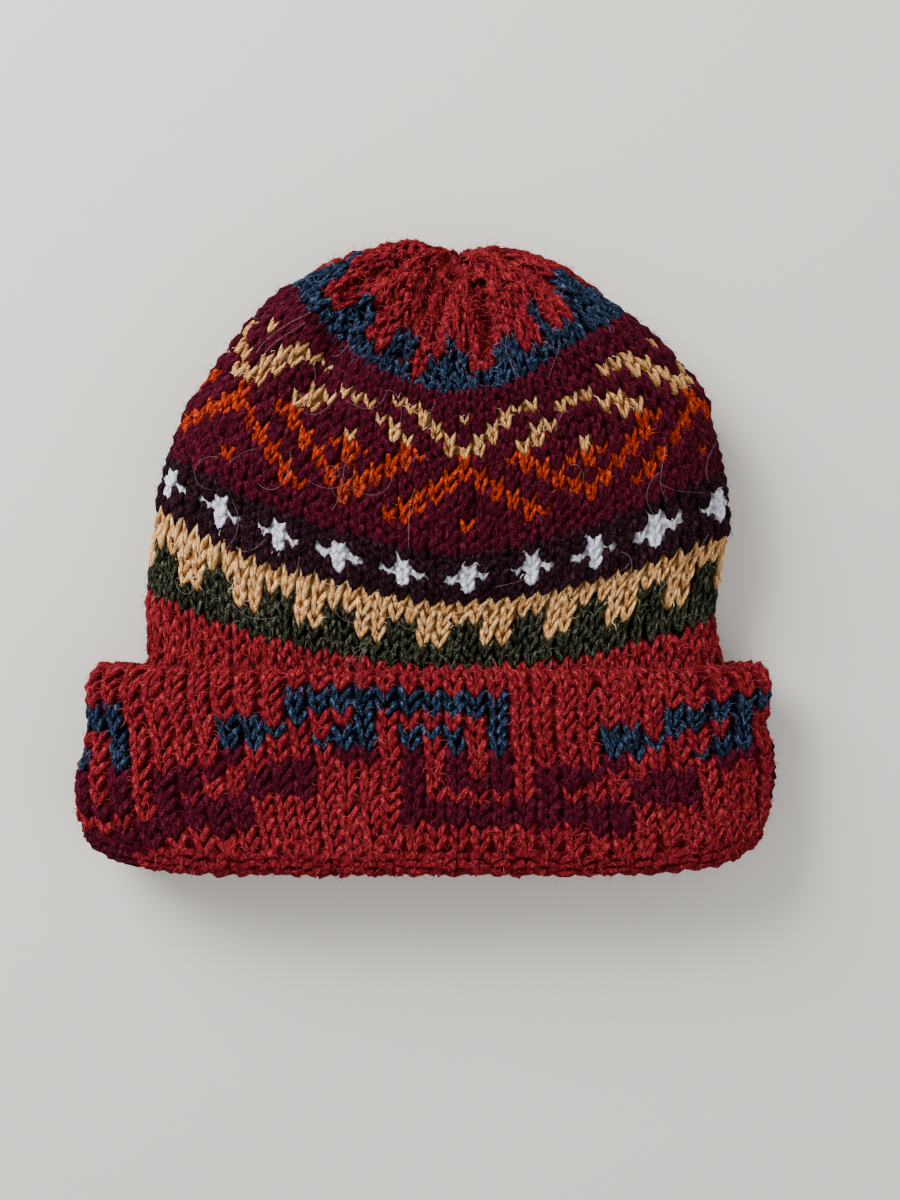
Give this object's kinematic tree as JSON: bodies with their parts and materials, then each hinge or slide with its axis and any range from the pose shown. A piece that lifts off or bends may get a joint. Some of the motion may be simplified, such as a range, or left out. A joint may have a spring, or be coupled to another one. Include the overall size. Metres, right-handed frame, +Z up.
{
  "type": "knitted beanie with turned-up cuff",
  "caption": "Soft hollow knitted hat with a gathered dome, a patterned body and a wide turned-up cuff around its mouth, lying flat on its back.",
  "frame": {"origin": "on the resting surface, below the middle of the hat's bounding box", "axes": "+Z up from the resting surface through the flattened hat, +Y from the mouth towards the gathered pole, +X to the right as the front is seen from above"},
  "size_m": [0.2496, 0.2246, 0.0449],
  "materials": {
    "crown_knit": "fuzzy stocking-stitch knit in bands of red, blue, maroon, plum, gold and green yarn",
    "cuff_knit": "fuzzy stocking-stitch knit in red yarn with blue and maroon figures"
  },
  "bodies": {
    "root": {"crown": "crown_knit", "cuff": "cuff_knit"}
  },
  "joints": []
}
